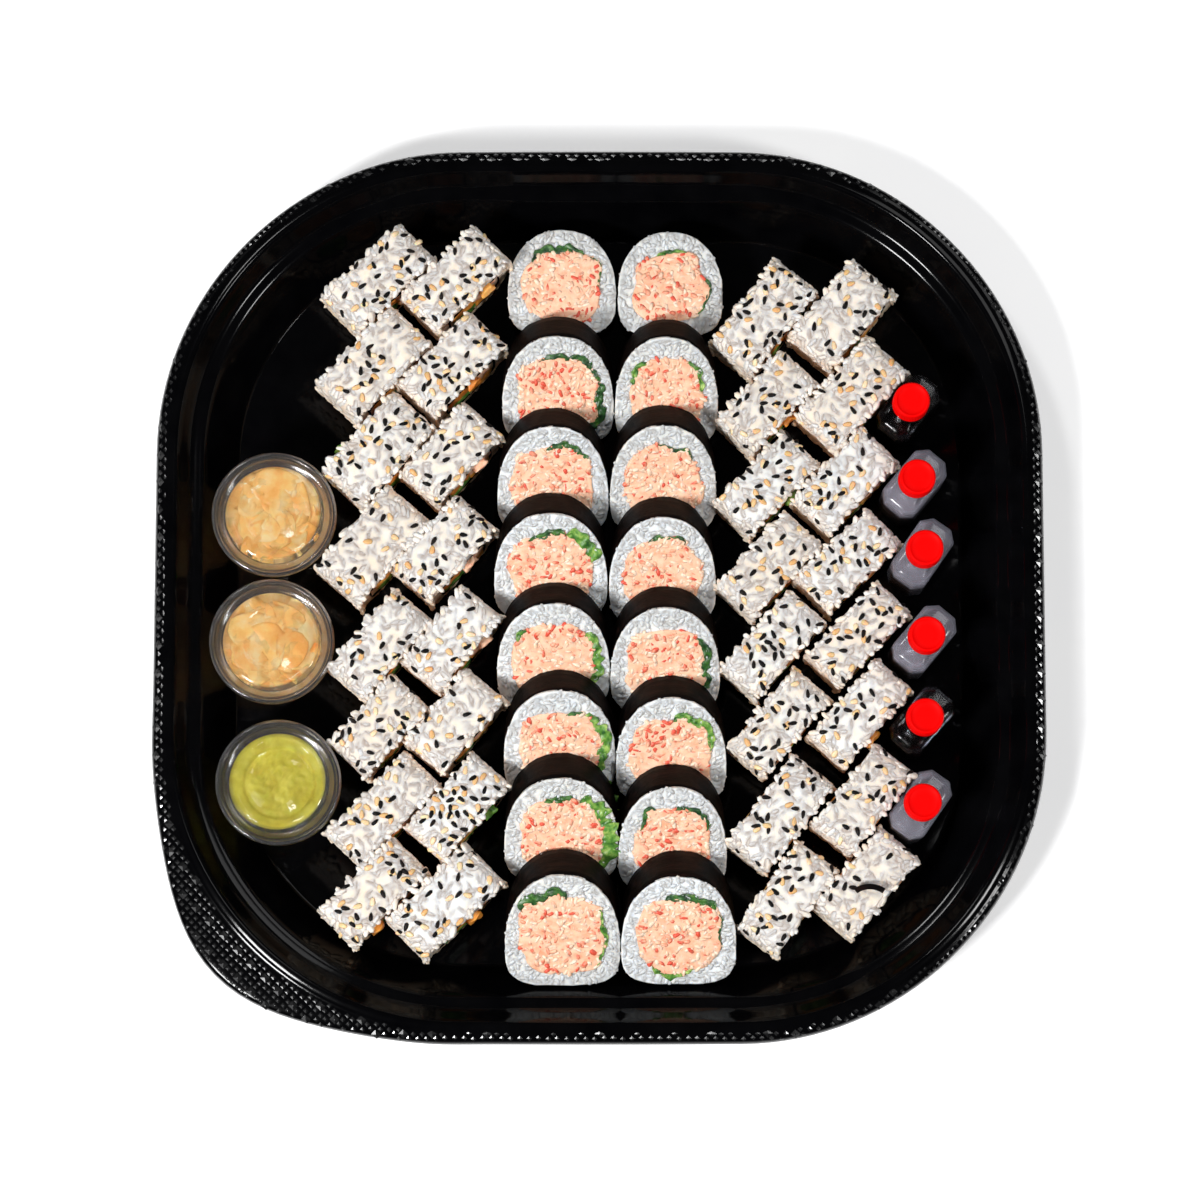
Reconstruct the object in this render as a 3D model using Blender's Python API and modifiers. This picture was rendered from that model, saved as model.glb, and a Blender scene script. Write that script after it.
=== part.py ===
"""A takeaway sushi tray: a black moulded tray with rolls, sauce pots and soy bottles standing in it.

Units are metres and +Z is up. The origin is on the tray's underside, at the middle of its plan.
The futomaki faces look towards -Y, which is the side that the tray is seen from.
"""
import math
import random

import bmesh
import bpy
from mathutils import Matrix, Vector
from mathutils.bvhtree import BVHTree

MM = 0.001
SEED = 4806

# Tray
TRAY_HALF = 178.5 * MM
TRAY_CORNER_RADIUS = 122.0 * MM
TRAY_BOW = 2.2 * MM
TRAY_WALL = 1.0 * MM
CORNER_STEPS = 9
SIDE_STEPS = 2
# Distance in from the outer edge and height of the upper surface, from the flange to the floor
TRAY_PROFILE = (
    (0.0, 26.0),
    (0.8, 28.2),
    (2.4, 29.2),
    (4.2, 29.6),
    (5.0, 30.3),
    (7.4, 31.0),
    (9.0, 29.8),
    (13.6, 22.8),
    (18.2, 21.8),
    (20.0, 19.6),
    (29.2, 4.6),
    (31.0, 1.7),
    (32.4, 1.0),
)
# How far the outer rings of that profile follow the corner lip
LIP_SHARES = (1.0, 1.0, 0.5)
LIP_REACH = 14.0 * MM
LIP_DROP = 0.8 * MM
LIP_DIRECTION = math.radians(225.0)
LIP_SPREAD = math.radians(13.5)
GAP = 0.3 * MM
STANDING = TRAY_WALL + GAP

# Rolls with the rice outside, standing on edge with the cut faces upright
URAMAKI_LENGTH = 42.2 * MM
URAMAKI_HEIGHT = 35.6 * MM
URAMAKI_THICKNESS = 20.6 * MM
URAMAKI_SIDES = 12
URAMAKI_TOP_SQUARENESS = 6.5
URAMAKI_FOOT_SQUARENESS = 2.6
URAMAKI_HEIGHT_SHARES = (0.97, 1.0)
URAMAKI_UNEVEN = 0.35 * MM
# Middle of each roll in mm, how far its long side turns from +X in degrees,
# and its thickness and length over the usual ones
URAMAKI_COLUMNS = {
    "a": ((-89.2, 126.8, 44, 1, 1.06), (-90.5, 91.7, 47, 1.1, 1.09), (-88.5, 56.5, 48, 1.1, 1.07),
          (-90.6, 17.9, 49, 1.12, 1.09), (-87.6, -22.4, 50, 0.95, 1.02), (-87.5, -54.7, 47, 0.98, 0.93),
          (-85.8, -88.0, 46, 0.94, 1.12), (-89.6, -121.0, 45, 0.95, 1.02)),
    "b": ((-57.9, 126.3, 45, 1, 1.02), (-59.5, 91.0, 46, 1.0, 1.02), (-59.6, 54.6, 48, 0.98, 0.97),
          (-62.1, 16.5, 48, 0.99, 0.98), (-59.0, -19.8, 51, 0.95, 0.97), (-57.6, -53.0, 50, 0.98, 0.96),
          (-56.1, -87.0, 49, 0.95, 0.99), (-60.8, -124.7, 44, 1.05, 1.08)),
    "c": ((66.5, 110.9, 52, 1.03, 1.08), (67.7, 76.2, 47, 0.96, 0.98), (67.2, 42.8, 46, 0.95, 1.01),
          (67.9, 9.7, 47, 0.96, 1.02), (69.0, -22.4, 48, 0.92, 1.03), (71.8, -53.2, 50, 0.9, 1.03),
          (71.8, -89.8, 52, 0.96, 1.10), (74.4, -123.4, 54, 0.93, 1.04)),
    "d": ((98.0, 111.9, 50, 1.06, 1.01), (101.6, 79.1, 48, 1.04, 1.08), (98.6, 43.8, 46, 0.98, 1.0),
          (99.6, 11.8, 44, 0.95, 1.0), (103.5, -18.1, 46, 0.88, 1.04), (103.9, -49.8, 48, 0.9, 1.03),
          (104.9, -84.0, 52, 0.94, 1.03), (105.7, -117.2, 49, 0.96, 1.03)),
}
CUT_ROUNDING = 1.5 * MM

# Sesame seeds that stand out of the rice
SEED_LENGTH = 3.2 * MM
SEED_WIDTH = 2.0 * MM
SEED_DEPTH = 1.3 * MM
SEEDS_A_ROLL = 4
SEED_FIRST_ANGLE = 42.0
SEED_LAST_ANGLE = 138.0
# Where a seed lies inside its share of those angles, and how far along the roll in shares of its thickness
SEED_ANGLE_SHARES = (0.25, 0.75)
SEED_ALONG_SHARES = (0.1, 0.3)

# Thick rolls with the seaweed outside, each leaning on the one behind it
FUTOMAKI_SHOULDER = 17.0 * MM
FUTOMAKI_DOME_SQUARENESS = 2.2
FUTOMAKI_FOOT_SQUARENESS = 3.4
FUTOMAKI_THICKNESS = 21.0 * MM
FUTOMAKI_LEAN = math.radians(35.0)
FUTOMAKI_SIDES = 16
FUTOMAKI_UNEVEN = 0.3 * MM
# Middle of each roll across the tray, where its back edge stands, its width and its height,
# in mm, from the back row to the front
FUTOMAKI_COLUMNS = {
    "l": ((-15.2, 105.6, 43.6, 43.6), (-16.8, 73.3, 44.8, 48.0), (-18.8, 35.1, 44.6, 48.0),
          (-19.7, 0.7, 45.4, 48.0), (-18.3, -35.6, 44.6, 48.0), (-15.8, -71.1, 44.3, 48.0),
          (-15.3, -104.3, 45.0, 48.0), (-14.7, -145.0, 45.6, 51.5)),
    "r": ((28.8, 105.2, 42.6, 43.6), (26.9, 71.7, 41.4, 48.0), (25.4, 36.7, 42.4, 48.0),
          (25.3, -0.9, 43.0, 48.0), (26.4, -37.1, 43.6, 48.0), (28.7, -73.3, 43.6, 48.0),
          (29.2, -108.9, 42.8, 48.0), (31.4, -144.4, 45.2, 50.0)),
}

# Lidded sauce pots
POT_FOOT_RADIUS = 15.2 * MM
POT_NECK_RADIUS = 23.2 * MM
POT_LID_RADIUS = 25.0 * MM
POT_LID_RIM = 2.6 * MM
POT_LID_HEIGHT = 4.6 * MM
POT_HEIGHT = 32.0 * MM
POT_PANEL_DEPTH = 1.4 * MM
POT_PANEL_SLOPE = 0.6 * MM
POT_RIM_ROUNDING = 0.9 * MM
POT_STEPS = 18
POT_PLACES = {
    "ginger_pot_1": (-130.4, 30.4),
    "ginger_pot_2": (-130.8, -20.8),
    "wasabi_pot": (-127.6, -77.3),
}

# Soy sauce bottles
BOTTLE_LENGTH = 28.0 * MM
BOTTLE_WIDTH = 16.4 * MM
BOTTLE_BODY_HEIGHT = 33.5 * MM
BOTTLE_CHAMFER = 4.0 * MM
BOTTLE_SHOULDER = 2.6 * MM
BOTTLE_NECK_RADIUS = 5.4 * MM
BOTTLE_CAP_RADIUS = 7.35 * MM
BOTTLE_CAP_HEIGHT = 8.6 * MM
BOTTLE_HEIGHT = 44.6 * MM
BOTTLE_ROUND_STEPS = 12
BOTTLE_JOINT_OVERLAP = 2.0 * MM
# Middle of each bottle in mm, and how far its long side turns from +X in degrees
BOTTLE_PLACES = ((124.6, 74.4, 50.5), (126.6, 43.4, 49.8), (129.4, 15.0, 55.0),
                 (129.8, -19.6, 49.8), (128.8, -52.2, 48.7), (127.6, -86.0, 55.0))

# A stray strip of seaweed on the last roll of column d
SHRED_LENGTH = 12.0 * MM
SHRED_WIDTH = 2.2 * MM
SHRED_THICKNESS = 0.4 * MM
SHRED_BEND = math.radians(70.0)
SHRED_STEPS = 8
SHRED_PLACE = (106.5, -119.0, 39.1)


def clear_scene():
    """Removes the objects that a new file comes with."""
    for thing in list(bpy.data.objects):
        bpy.data.objects.remove(thing, do_unlink=True)


def new_collection(name):
    """Adds a collection to the scene."""
    collection = bpy.data.collections.new(name)
    bpy.context.scene.collection.children.link(collection)
    return collection


def plain_material(name, colour, roughness, metallic=0.0):
    """A material of one colour."""
    material = bpy.data.materials.new(name)
    material.use_nodes = True
    shader = material.node_tree.nodes["Principled BSDF"]
    shader.inputs["Base Color"].default_value = (*colour, 1.0)
    shader.inputs["Roughness"].default_value = roughness
    shader.inputs["Metallic"].default_value = metallic
    return material


def add_object(name, source, material, collection):
    """Turns a bmesh into an object of the collection."""
    mesh = bpy.data.meshes.new(name)
    source.to_mesh(mesh)
    source.free()
    thing = bpy.data.objects.new(name, mesh)
    thing.data.materials.append(material)
    collection.objects.link(thing)
    return thing


def apply_modifiers(thing):
    """Bakes an object's modifiers into its mesh."""
    bpy.context.view_layer.update()
    graph = bpy.context.evaluated_depsgraph_get()
    mesh = bpy.data.meshes.new_from_object(thing.evaluated_get(graph), depsgraph=graph)
    thing.modifiers.clear()
    thing.data = mesh


def fuse(body, pieces_collection):
    """Joins every object of a collection to the body in one union, and removes them."""
    union = body.modifiers.new("Fuse", "BOOLEAN")
    union.operation = "UNION"
    union.operand_type = "COLLECTION"
    union.collection = pieces_collection
    union.solver = "EXACT"
    apply_modifiers(body)
    for piece in list(pieces_collection.objects):
        bpy.data.objects.remove(piece, do_unlink=True)
    bpy.data.collections.remove(pieces_collection)


def outline_points(inset):
    """The tray's outline, moved in by the inset: round corners and sides that bow a little."""
    middle = TRAY_HALF - TRAY_CORNER_RADIUS
    radius = TRAY_CORNER_RADIUS - inset
    corners = []
    for quarter in range(4):
        start = quarter * math.pi / 2
        centre = Vector((middle * (1 if quarter in (0, 3) else -1), middle * (1 if quarter < 2 else -1)))
        arc = []
        for step in range(CORNER_STEPS + 1):
            angle = start + step / CORNER_STEPS * math.pi / 2
            arc.append(centre + radius * Vector((math.cos(angle), math.sin(angle))))
        corners.append(arc)
    points = []
    for quarter, arc in enumerate(corners):
        points.extend(arc)
        following = corners[(quarter + 1) % 4][0]
        for step in range(1, SIDE_STEPS + 1):
            points.append(arc[-1].lerp(following, step / (SIDE_STEPS + 1)))
    for point in points:
        reach = 1.0 - (point.x / TRAY_HALF) ** 2
        point.y += math.copysign(TRAY_BOW * reach * (point.y / TRAY_HALF) ** 2, point.y)
    return points


def lip(point):
    """How strongly the corner lip shows at a point of the outline, from 0 to 1."""
    angle = math.atan2(point.y, point.x) % (2 * math.pi)
    return math.exp(-((angle - LIP_DIRECTION) / LIP_SPREAD) ** 2)


def build_tray(collection):
    """The moulded tray: flange with a wider lip at one corner, rim, stepped wall and floor."""
    source = bmesh.new()
    rings = []
    for number, (inset, height) in enumerate(TRAY_PROFILE):
        share = LIP_SHARES[number] if number < len(LIP_SHARES) else 0.0
        ring = []
        for point in outline_points(inset * MM):
            push = lip(point) * share
            place = point + point.normalized() * LIP_REACH * push
            ring.append(source.verts.new((place.x, place.y, height * MM - LIP_DROP * push)))
        rings.append(ring)
    count = len(rings[0])
    for outer, inner in zip(rings, rings[1:]):
        for index in range(count):
            following = (index + 1) % count
            source.faces.new((outer[index], outer[following], inner[following], inner[index]))
    source.faces.new(rings[-1])
    material = plain_material("tray_plastic", (0.004, 0.004, 0.005), 0.2)
    tray = add_object("tray", source, material, collection)
    if tray.data.polygons[-1].normal.z < 0:
        tray.data.flip_normals()
    shell = tray.modifiers.new("Wall", "SOLIDIFY")
    shell.thickness = TRAY_WALL
    shell.offset = -1.0
    shell.use_even_offset = True
    return tray


def power(value, exponent):
    """A power that keeps the sign."""
    return math.copysign(abs(value) ** exponent, value)


def rounded_box_section(angle, half_width, half_height):
    """A point of a rounded rectangle with fuller upper corners, at an angle round its middle."""
    exponent = 2.0 / (URAMAKI_TOP_SQUARENESS if math.sin(angle) >= 0 else URAMAKI_FOOT_SQUARENESS)
    return half_width * power(math.cos(angle), exponent), half_height * power(math.sin(angle), exponent)


def dome_section(angle, half_width, height):
    """A point of a domed outline with a nearly flat foot, measured from its shoulder line."""
    if math.sin(angle) >= 0:
        exponent = 2.0 / FUTOMAKI_DOME_SQUARENESS
        reach = height - FUTOMAKI_SHOULDER
    else:
        exponent = 2.0 / FUTOMAKI_FOOT_SQUARENESS
        reach = FUTOMAKI_SHOULDER
    return half_width * power(math.cos(angle), exponent), reach * power(math.sin(angle), exponent)


def slab(section, radius, thickness, sides, uneven, draws):
    """A short prism along Y with rounded cut edges, whose outline follows a section function."""
    source = bmesh.new()
    bmesh.ops.create_cone(source, cap_ends=True, segments=sides, radius1=radius, radius2=radius, depth=thickness)
    rims = [edge for edge in source.edges if abs(edge.verts[0].co.z - edge.verts[1].co.z) < thickness / 2]
    bmesh.ops.bevel(source, geom=rims, offset=CUT_ROUNDING, segments=1, affect="EDGES")
    for vertex in source.verts:
        angle = math.atan2(vertex.co.y, vertex.co.x)
        across, up = section(angle)
        scale = math.hypot(vertex.co.x, vertex.co.y) / radius + draws.uniform(-uneven, uneven) / radius
        vertex.co = Vector((across * scale, vertex.co.z, up * scale))
    # Laying the prism along Y mirrors it, so its faces are turned to look outwards again
    bmesh.ops.reverse_faces(source, faces=source.faces[:])
    return source


def seed_on(surface, along, angle, draws, collection):
    """A sesame seed lying on a roll's surface, half sunk in the rice."""
    outward = Vector((math.cos(angle), 0.0, math.sin(angle)))
    start = Vector((0.0, along, 0.0)) + outward * URAMAKI_LENGTH
    place, normal, _, _ = surface.ray_cast(start, -outward)
    source = bmesh.new()
    bmesh.ops.create_uvsphere(source, u_segments=5, v_segments=4, radius=0.5)
    bmesh.ops.scale(source, vec=(SEED_LENGTH, SEED_WIDTH, SEED_DEPTH), verts=source.verts[:])
    spin = Matrix.Rotation(draws.uniform(0, math.pi), 4, "Z")
    tilt = Vector((0, 0, 1)).rotation_difference(normal).to_matrix().to_4x4()
    bmesh.ops.transform(source, matrix=Matrix.Translation(place) @ tilt @ spin, verts=source.verts[:])
    return add_object("seed", source, bpy.data.materials["rice"], collection)


def move_mesh(thing, matrix):
    """Moves a mesh under its object, which stays at the origin."""
    thing.data.transform(matrix)
    thing.data.update()


def build_uramaki(name, place, draws, collection):
    """One roll with the rice outside: a rounded block with sesame seeds fused to its top."""
    x, y, degrees, thickness_share, length_share = place
    half_width = URAMAKI_LENGTH / 2 * length_share
    half_height = URAMAKI_HEIGHT / 2 * draws.uniform(*URAMAKI_HEIGHT_SHARES)
    thickness = URAMAKI_THICKNESS * thickness_share

    def section(angle):
        return rounded_box_section(angle, half_width, half_height)

    radius = (half_width + half_height) / 2
    source = slab(section, radius, thickness, URAMAKI_SIDES, URAMAKI_UNEVEN, draws)
    surface = BVHTree.FromBMesh(source)
    roll = add_object(name, source, bpy.data.materials["rice"], collection)
    seeds = new_collection(name + "_seeds")
    step = (SEED_LAST_ANGLE - SEED_FIRST_ANGLE) / SEEDS_A_ROLL
    for number in range(SEEDS_A_ROLL):
        angle = math.radians(SEED_FIRST_ANGLE + (number + draws.uniform(*SEED_ANGLE_SHARES)) * step)
        side = 1 if number % 2 else -1
        along = side * thickness * draws.uniform(*SEED_ALONG_SHARES)
        seed_on(surface, along, angle, draws, seeds)
    fuse(roll, seeds)
    lowest = min(vertex.co.z for vertex in roll.data.vertices)
    turn = Matrix.Rotation(math.radians(degrees), 4, "Z")
    move_mesh(roll, Matrix.Translation((x * MM, y * MM, STANDING - lowest)) @ turn)
    return roll


def build_futomaki(name, place, step, draws, collection):
    """One thick roll: the back one lies flat, and each of the others leans on the roll behind it.

    The step is how far the next roll's back edge stands in front of this one's.
    """
    x, back_edge, width, tall = place
    height = tall * MM
    lies_flat = name[-1] == "1"
    lean = 0.0 if lies_flat else FUTOMAKI_LEAN
    thickness = FUTOMAKI_THICKNESS
    if not lies_flat and step is not None:
        room = step * MM * math.sin(lean) - GAP - 2 * FUTOMAKI_UNEVEN
        thickness = min(thickness, room)

    def section(angle):
        return dome_section(angle, width / 2 * MM, height)

    source = slab(section, height / 2, thickness, FUTOMAKI_SIDES, FUTOMAKI_UNEVEN, draws)
    roll = add_object(name, source, bpy.data.materials["seaweed"], collection)
    # The prism stands on edge with its dome up: its back edge goes to the origin, and then it is laid back
    to_back_edge = Matrix.Translation((0, -thickness / 2, FUTOMAKI_SHOULDER))
    lay_back = Matrix.Rotation(lean - math.pi / 2, 4, "X")
    move_mesh(roll, Matrix.Translation((x * MM, back_edge * MM, 0)) @ lay_back @ to_back_edge)
    lowest = min(vertex.co.z for vertex in roll.data.vertices)
    move_mesh(roll, Matrix.Translation((0, 0, STANDING - lowest)))
    return roll


def build_pot(name, place, collection):
    """A small lidded pot, turned from one profile and closed."""
    rim_foot = POT_HEIGHT - POT_LID_HEIGHT
    panel = POT_HEIGHT - POT_PANEL_DEPTH
    rim = POT_LID_RADIUS - POT_LID_RIM
    profile = (
        (0.0, panel),
        (rim - POT_PANEL_SLOPE, panel),
        (rim, POT_HEIGHT),
        (POT_LID_RADIUS - POT_RIM_ROUNDING, POT_HEIGHT),
        (POT_LID_RADIUS, POT_HEIGHT - POT_RIM_ROUNDING),
        (POT_LID_RADIUS, rim_foot),
        (POT_NECK_RADIUS, rim_foot),
        (POT_FOOT_RADIUS, 0.0),
        (0.0, 0.0),
    )
    source = bmesh.new()
    corners = [source.verts.new((radius, 0, height)) for radius, height in profile]
    for start, end in zip(corners, corners[1:]):
        source.edges.new((start, end))
    pot = add_object(name, source, bpy.data.materials["clear_plastic"], collection)
    turned = pot.modifiers.new("Turned", "SCREW")
    turned.axis = "Z"
    turned.angle = 2 * math.pi
    turned.steps = POT_STEPS
    turned.render_steps = POT_STEPS
    turned.use_merge_vertices = True
    turned.merge_threshold = 0.0001
    pot.location = (place[0] * MM, place[1] * MM, STANDING)
    return pot


def build_bottle(name, place, collection):
    """A soy sauce bottle: an eight-sided body with a sloped shoulder, a neck and a round cap."""
    x, y, degrees = place
    source = bmesh.new()
    bmesh.ops.create_cube(source, size=1.0)
    bmesh.ops.scale(source, vec=(BOTTLE_LENGTH, BOTTLE_WIDTH, BOTTLE_BODY_HEIGHT), verts=source.verts[:])
    upright = [edge for edge in source.edges if abs(edge.verts[0].co.z - edge.verts[1].co.z) > GAP]
    bmesh.ops.bevel(source, geom=upright, offset=BOTTLE_CHAMFER, segments=1, affect="EDGES")
    top = [edge for edge in source.edges if min(vertex.co.z for vertex in edge.verts) > GAP]
    bmesh.ops.bevel(source, geom=top, offset=BOTTLE_SHOULDER, segments=1, affect="EDGES")
    bmesh.ops.translate(source, vec=(0, 0, BOTTLE_BODY_HEIGHT / 2), verts=source.verts[:])
    body = add_object(name, source, bpy.data.materials["clear_plastic"], collection)
    closure = new_collection(name + "_closure")
    neck_foot = BOTTLE_BODY_HEIGHT - BOTTLE_JOINT_OVERLAP
    cap_foot = BOTTLE_HEIGHT - BOTTLE_CAP_HEIGHT
    neck_head = cap_foot + BOTTLE_JOINT_OVERLAP
    stages = ((BOTTLE_NECK_RADIUS, neck_foot, neck_head), (BOTTLE_CAP_RADIUS, cap_foot, BOTTLE_HEIGHT))
    for radius, foot, head in stages:
        source = bmesh.new()
        bmesh.ops.create_cone(source, cap_ends=True, segments=BOTTLE_ROUND_STEPS,
                              radius1=radius, radius2=radius, depth=head - foot)
        bmesh.ops.translate(source, vec=(0, 0, (head + foot) / 2), verts=source.verts[:])
        add_object("closure", source, bpy.data.materials["red_plastic"], closure)
    fuse(body, closure)
    turn = Matrix.Rotation(math.radians(degrees), 4, "Z")
    move_mesh(body, Matrix.Translation((x * MM, y * MM, STANDING)) @ turn)
    return body


def build_shred(collection):
    """A narrow curled strip of seaweed."""
    source = bmesh.new()
    bmesh.ops.create_grid(source, x_segments=SHRED_STEPS, y_segments=1, size=0.5)
    radius = SHRED_LENGTH / SHRED_BEND
    for vertex in source.verts:
        angle = vertex.co.x * SHRED_BEND
        reach = radius + vertex.co.y * SHRED_WIDTH
        vertex.co = Vector((reach * math.sin(angle), reach * math.cos(angle) - radius, 0))
    shred = add_object("nori_shred", source, bpy.data.materials["seaweed"], collection)
    strip = shred.modifiers.new("Thickness", "SOLIDIFY")
    strip.thickness = SHRED_THICKNESS
    strip.offset = 0.0
    shred.location = [value * MM for value in SHRED_PLACE]
    return shred


def main():
    clear_scene()
    draws = random.Random(SEED)
    collection = new_collection("sushi_tray")
    plain_material("rice", (0.82, 0.79, 0.73), 0.45)
    plain_material("seaweed", (0.01, 0.014, 0.008), 0.35)
    plain_material("clear_plastic", (0.75, 0.77, 0.78), 0.08)
    plain_material("red_plastic", (0.85, 0.01, 0.01), 0.3)
    build_tray(collection)
    for column, places in URAMAKI_COLUMNS.items():
        for number, place in enumerate(places, start=1):
            build_uramaki(f"uramaki_{column}{number}", place, draws, collection)
    for column, places in FUTOMAKI_COLUMNS.items():
        steps = [place[1] - ahead[1] for place, ahead in zip(places, places[1:])] + [None]
        for number, (place, step) in enumerate(zip(places, steps), start=1):
            build_futomaki(f"futomaki_{column}{number}", place, step, draws, collection)
    for name, place in POT_PLACES.items():
        build_pot(name, place, collection)
    for number, place in enumerate(BOTTLE_PLACES, start=1):
        build_bottle(f"soy_bottle_{number}", place, collection)
    build_shred(collection)


main()
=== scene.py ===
"""The looks of a takeaway sushi tray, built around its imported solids.

Units are metres and +Z is up. The tray is seen from above, from a little to its -Y side.
"""
from math import cos, exp, hypot, pi, radians, sin, sqrt

import bpy
import numpy as np
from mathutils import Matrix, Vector
from mathutils.bvhtree import BVHTree


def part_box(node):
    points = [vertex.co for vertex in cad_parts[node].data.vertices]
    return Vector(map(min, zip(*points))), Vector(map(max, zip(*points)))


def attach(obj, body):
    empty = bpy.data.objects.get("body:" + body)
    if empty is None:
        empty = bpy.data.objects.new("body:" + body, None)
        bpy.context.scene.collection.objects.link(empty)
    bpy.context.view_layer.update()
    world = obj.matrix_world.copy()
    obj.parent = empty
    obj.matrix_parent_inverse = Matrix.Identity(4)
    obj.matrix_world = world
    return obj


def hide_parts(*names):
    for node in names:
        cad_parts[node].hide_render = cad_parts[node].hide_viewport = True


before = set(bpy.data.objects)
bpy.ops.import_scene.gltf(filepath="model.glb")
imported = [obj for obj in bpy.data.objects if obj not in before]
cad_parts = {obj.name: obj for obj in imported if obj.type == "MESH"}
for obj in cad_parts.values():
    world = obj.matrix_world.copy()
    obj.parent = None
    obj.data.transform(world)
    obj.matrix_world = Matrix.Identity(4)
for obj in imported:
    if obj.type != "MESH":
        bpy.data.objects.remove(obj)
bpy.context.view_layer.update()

SCENE = bpy.context.scene
MM = 0.001
SEED = 4806

# Camera: it looks at TARGET from straight in front of the tray and nearly overhead
TARGET = Vector((0.2, -3.95, 30.0)) * MM
CAMERA_DISTANCE = 1.6
CAMERA_ELEVATION = radians(82.5)
LENS = 120.0

# Tray
TRAY_HALF = 178.5
TRAY_CORNER_RADIUS = 122.0
TRAY_BOW = 2.2
TRAY_WALL = 1.0
TRAY_PROFILE = (
    (0.0, 26.0), (0.8, 28.2), (2.4, 29.2), (4.2, 29.6), (5.0, 30.3), (7.4, 31.0), (9.0, 29.8), (13.6, 22.8),
    (18.2, 21.8), (20.0, 19.6), (29.2, 4.6), (31.0, 1.7), (32.4, 1.0),
)
LIP_INSETS = (0.0, 0.8, 2.4, 4.2)
LIP_SHARES = (1.0, 1.0, 0.5, 0.0)
LIP_REACH = 14.0
LIP_DROP = 0.8
LIP_DIRECTION = radians(225.0)
LIP_SPREAD = radians(13.5)
STUD_PITCH = 2.6
STUD_SIZE = (1.6, 1.4, 0.19)
LARGE_STUD_SIZE = (3.0, 2.6, 0.36)
# Insets between which the studs lie, and the radii that none of them lies inside or outside
STUD_INSETS = (0.8, 4.0)
STUD_RADII = (170, 230)

# Rice rolls
ROLL_SQUARENESS = 6.5
FOOT_SQUARENESS = 2.6
CUT_ROUNDING = 1.5
GRAIN = (5.4, 2.9, 2.0)
FINE_GRAIN = (3.7, 2.3, 1.6)
BLACK_SEED = (3.75, 2.2, 1.15)
TAN_SEED = (3.7, 2.7, 0.8)
# Black and tan seeds on each roll
SEED_COUNTS = {
    "a": ((20, 14), (12, 12), (22, 14), (10, 9), (13, 8), (18, 10), (11, 14), (18, 16)),
    "b": ((20, 14), (24, 14), (16, 12), (22, 12), (8, 12), (8, 9), (26, 22), (18, 16)),
    "c": ((24, 14), (14, 10), (18, 14), (12, 10), (22, 9), (20, 9), (22, 8), (22, 12)),
    "d": ((14, 8), (12, 16), (13, 14), (18, 14), (22, 10), (14, 10), (14, 9), (8, 4)),
}
# Bits of filling that stick out: roll, middle along its length, cut face, middle above its waist, and the kind
STRAY_FILLINGS = (
    ("a3", -9.5, -1, 9.0, "leaf"), ("a8", -9.0, 1, 6.0, "salmon"), ("b1", 6.0, 1, 9.5, "salmon"),
    ("b2", 1.0, 1, 10.0, "salmon"), ("b3", 5.0, 1, 9.0, "crab"), ("b4", 3.0, 1, 7.0, "crab"),
    ("b5", 8.0, 1, 8.5, "crab"), ("b7", 7.0, 1, 8.0, "leaf"), ("b8", 4.0, 1, 6.0, "salmon"),
    ("c2", 2.0, 1, 6.0, "salmon"), ("c3", 3.0, 1, 8.0, "leaf"), ("d6", -4.0, 1, 6.0, "salmon"),
)

# Painted warm shade at the foot of the rice, where the rolls stand in shade: what the rice's colour is multiplied
# by there, and the heights between which that ends
STAIN = (0.86, 0.7, 0.55, 1.0)
STAIN_HEIGHTS = (14.0, 36.0)

# How far a rice roll's core stays inside its sides and its cut faces, and how deep its seaweed lies
CORE_SIDE_SINK = 0.45
CORE_FACE_SINK = 0.8
WRAP_DEPTH = 7.4
WRAP_THICKNESS = 0.7
# Grains that stand out raggedly at each cut edge
RAGGED_GRAINS = 6

# Thick rolls: the height of the shoulder, the rice that shows past the wrap, and the shreds of crab
SHOULDER = 17.0
COLLAR = 1.3
SHRED = (3.3, 1.9, 1.3)


def unit(vectors):
    """Vectors scaled to a length of one."""
    return vectors / np.maximum(np.linalg.norm(vectors, axis=-1, keepdims=True), 1e-12)


def waves(points, size, seed, count=9):
    """Smooth random unevenness between about -1 and 1, with features of a size, at points."""
    draws = np.random.default_rng([SEED, seed])
    directions = unit(draws.normal(size=(count, points.shape[-1])))
    directions *= 2 * pi / size * draws.uniform(0.6, 1.5, (count, 1))
    phases = draws.uniform(0, 2 * pi, count)
    return np.sin(points @ directions.T + phases).sum(-1) / sqrt(count)


def shaken(points, size, depth, seed):
    """Points moved by smooth random unevenness in every direction."""
    moved = np.stack([waves(points, size, seed + axis) for axis in range(points.shape[-1])], axis=-1)
    return points + depth * moved


# Shapes are pairs: an array of points in mm and an array of triangles


def loft(rings, caps=True):
    """A tube through rings of points. Its ends are closed by fans, or else joined to each other."""
    rings = np.asarray(rings, float)
    rows, count = rings.shape[:2]
    points = rings.reshape(-1, 3)
    this = np.arange(count)
    following = (this + 1) % count
    triangles = []
    for row in range(rows - 1 if caps else rows):
        near, far = row * count, (row + 1) % rows * count
        triangles.append(np.column_stack([near + this, near + following, far + following]))
        triangles.append(np.column_stack([near + this, far + following, far + this]))
    if caps:
        first, last = len(points), (rows - 1) * count
        points = np.vstack([points, rings[0].mean(0), rings[-1].mean(0)])
        triangles.append(np.column_stack([following, this, np.full(count, first)]))
        triangles.append(np.column_stack([last + this, last + following, np.full(count, first + 1)]))
    return outward(points, np.vstack(triangles))


def outward(points, triangles):
    """A closed shape with its faces turned to look outwards."""
    corners = points[triangles]
    volume = np.einsum("ij,ij->i", corners[:, 0], np.cross(corners[:, 1], corners[:, 2])).sum()
    return points, triangles if volume > 0 else triangles[:, ::-1]


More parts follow.
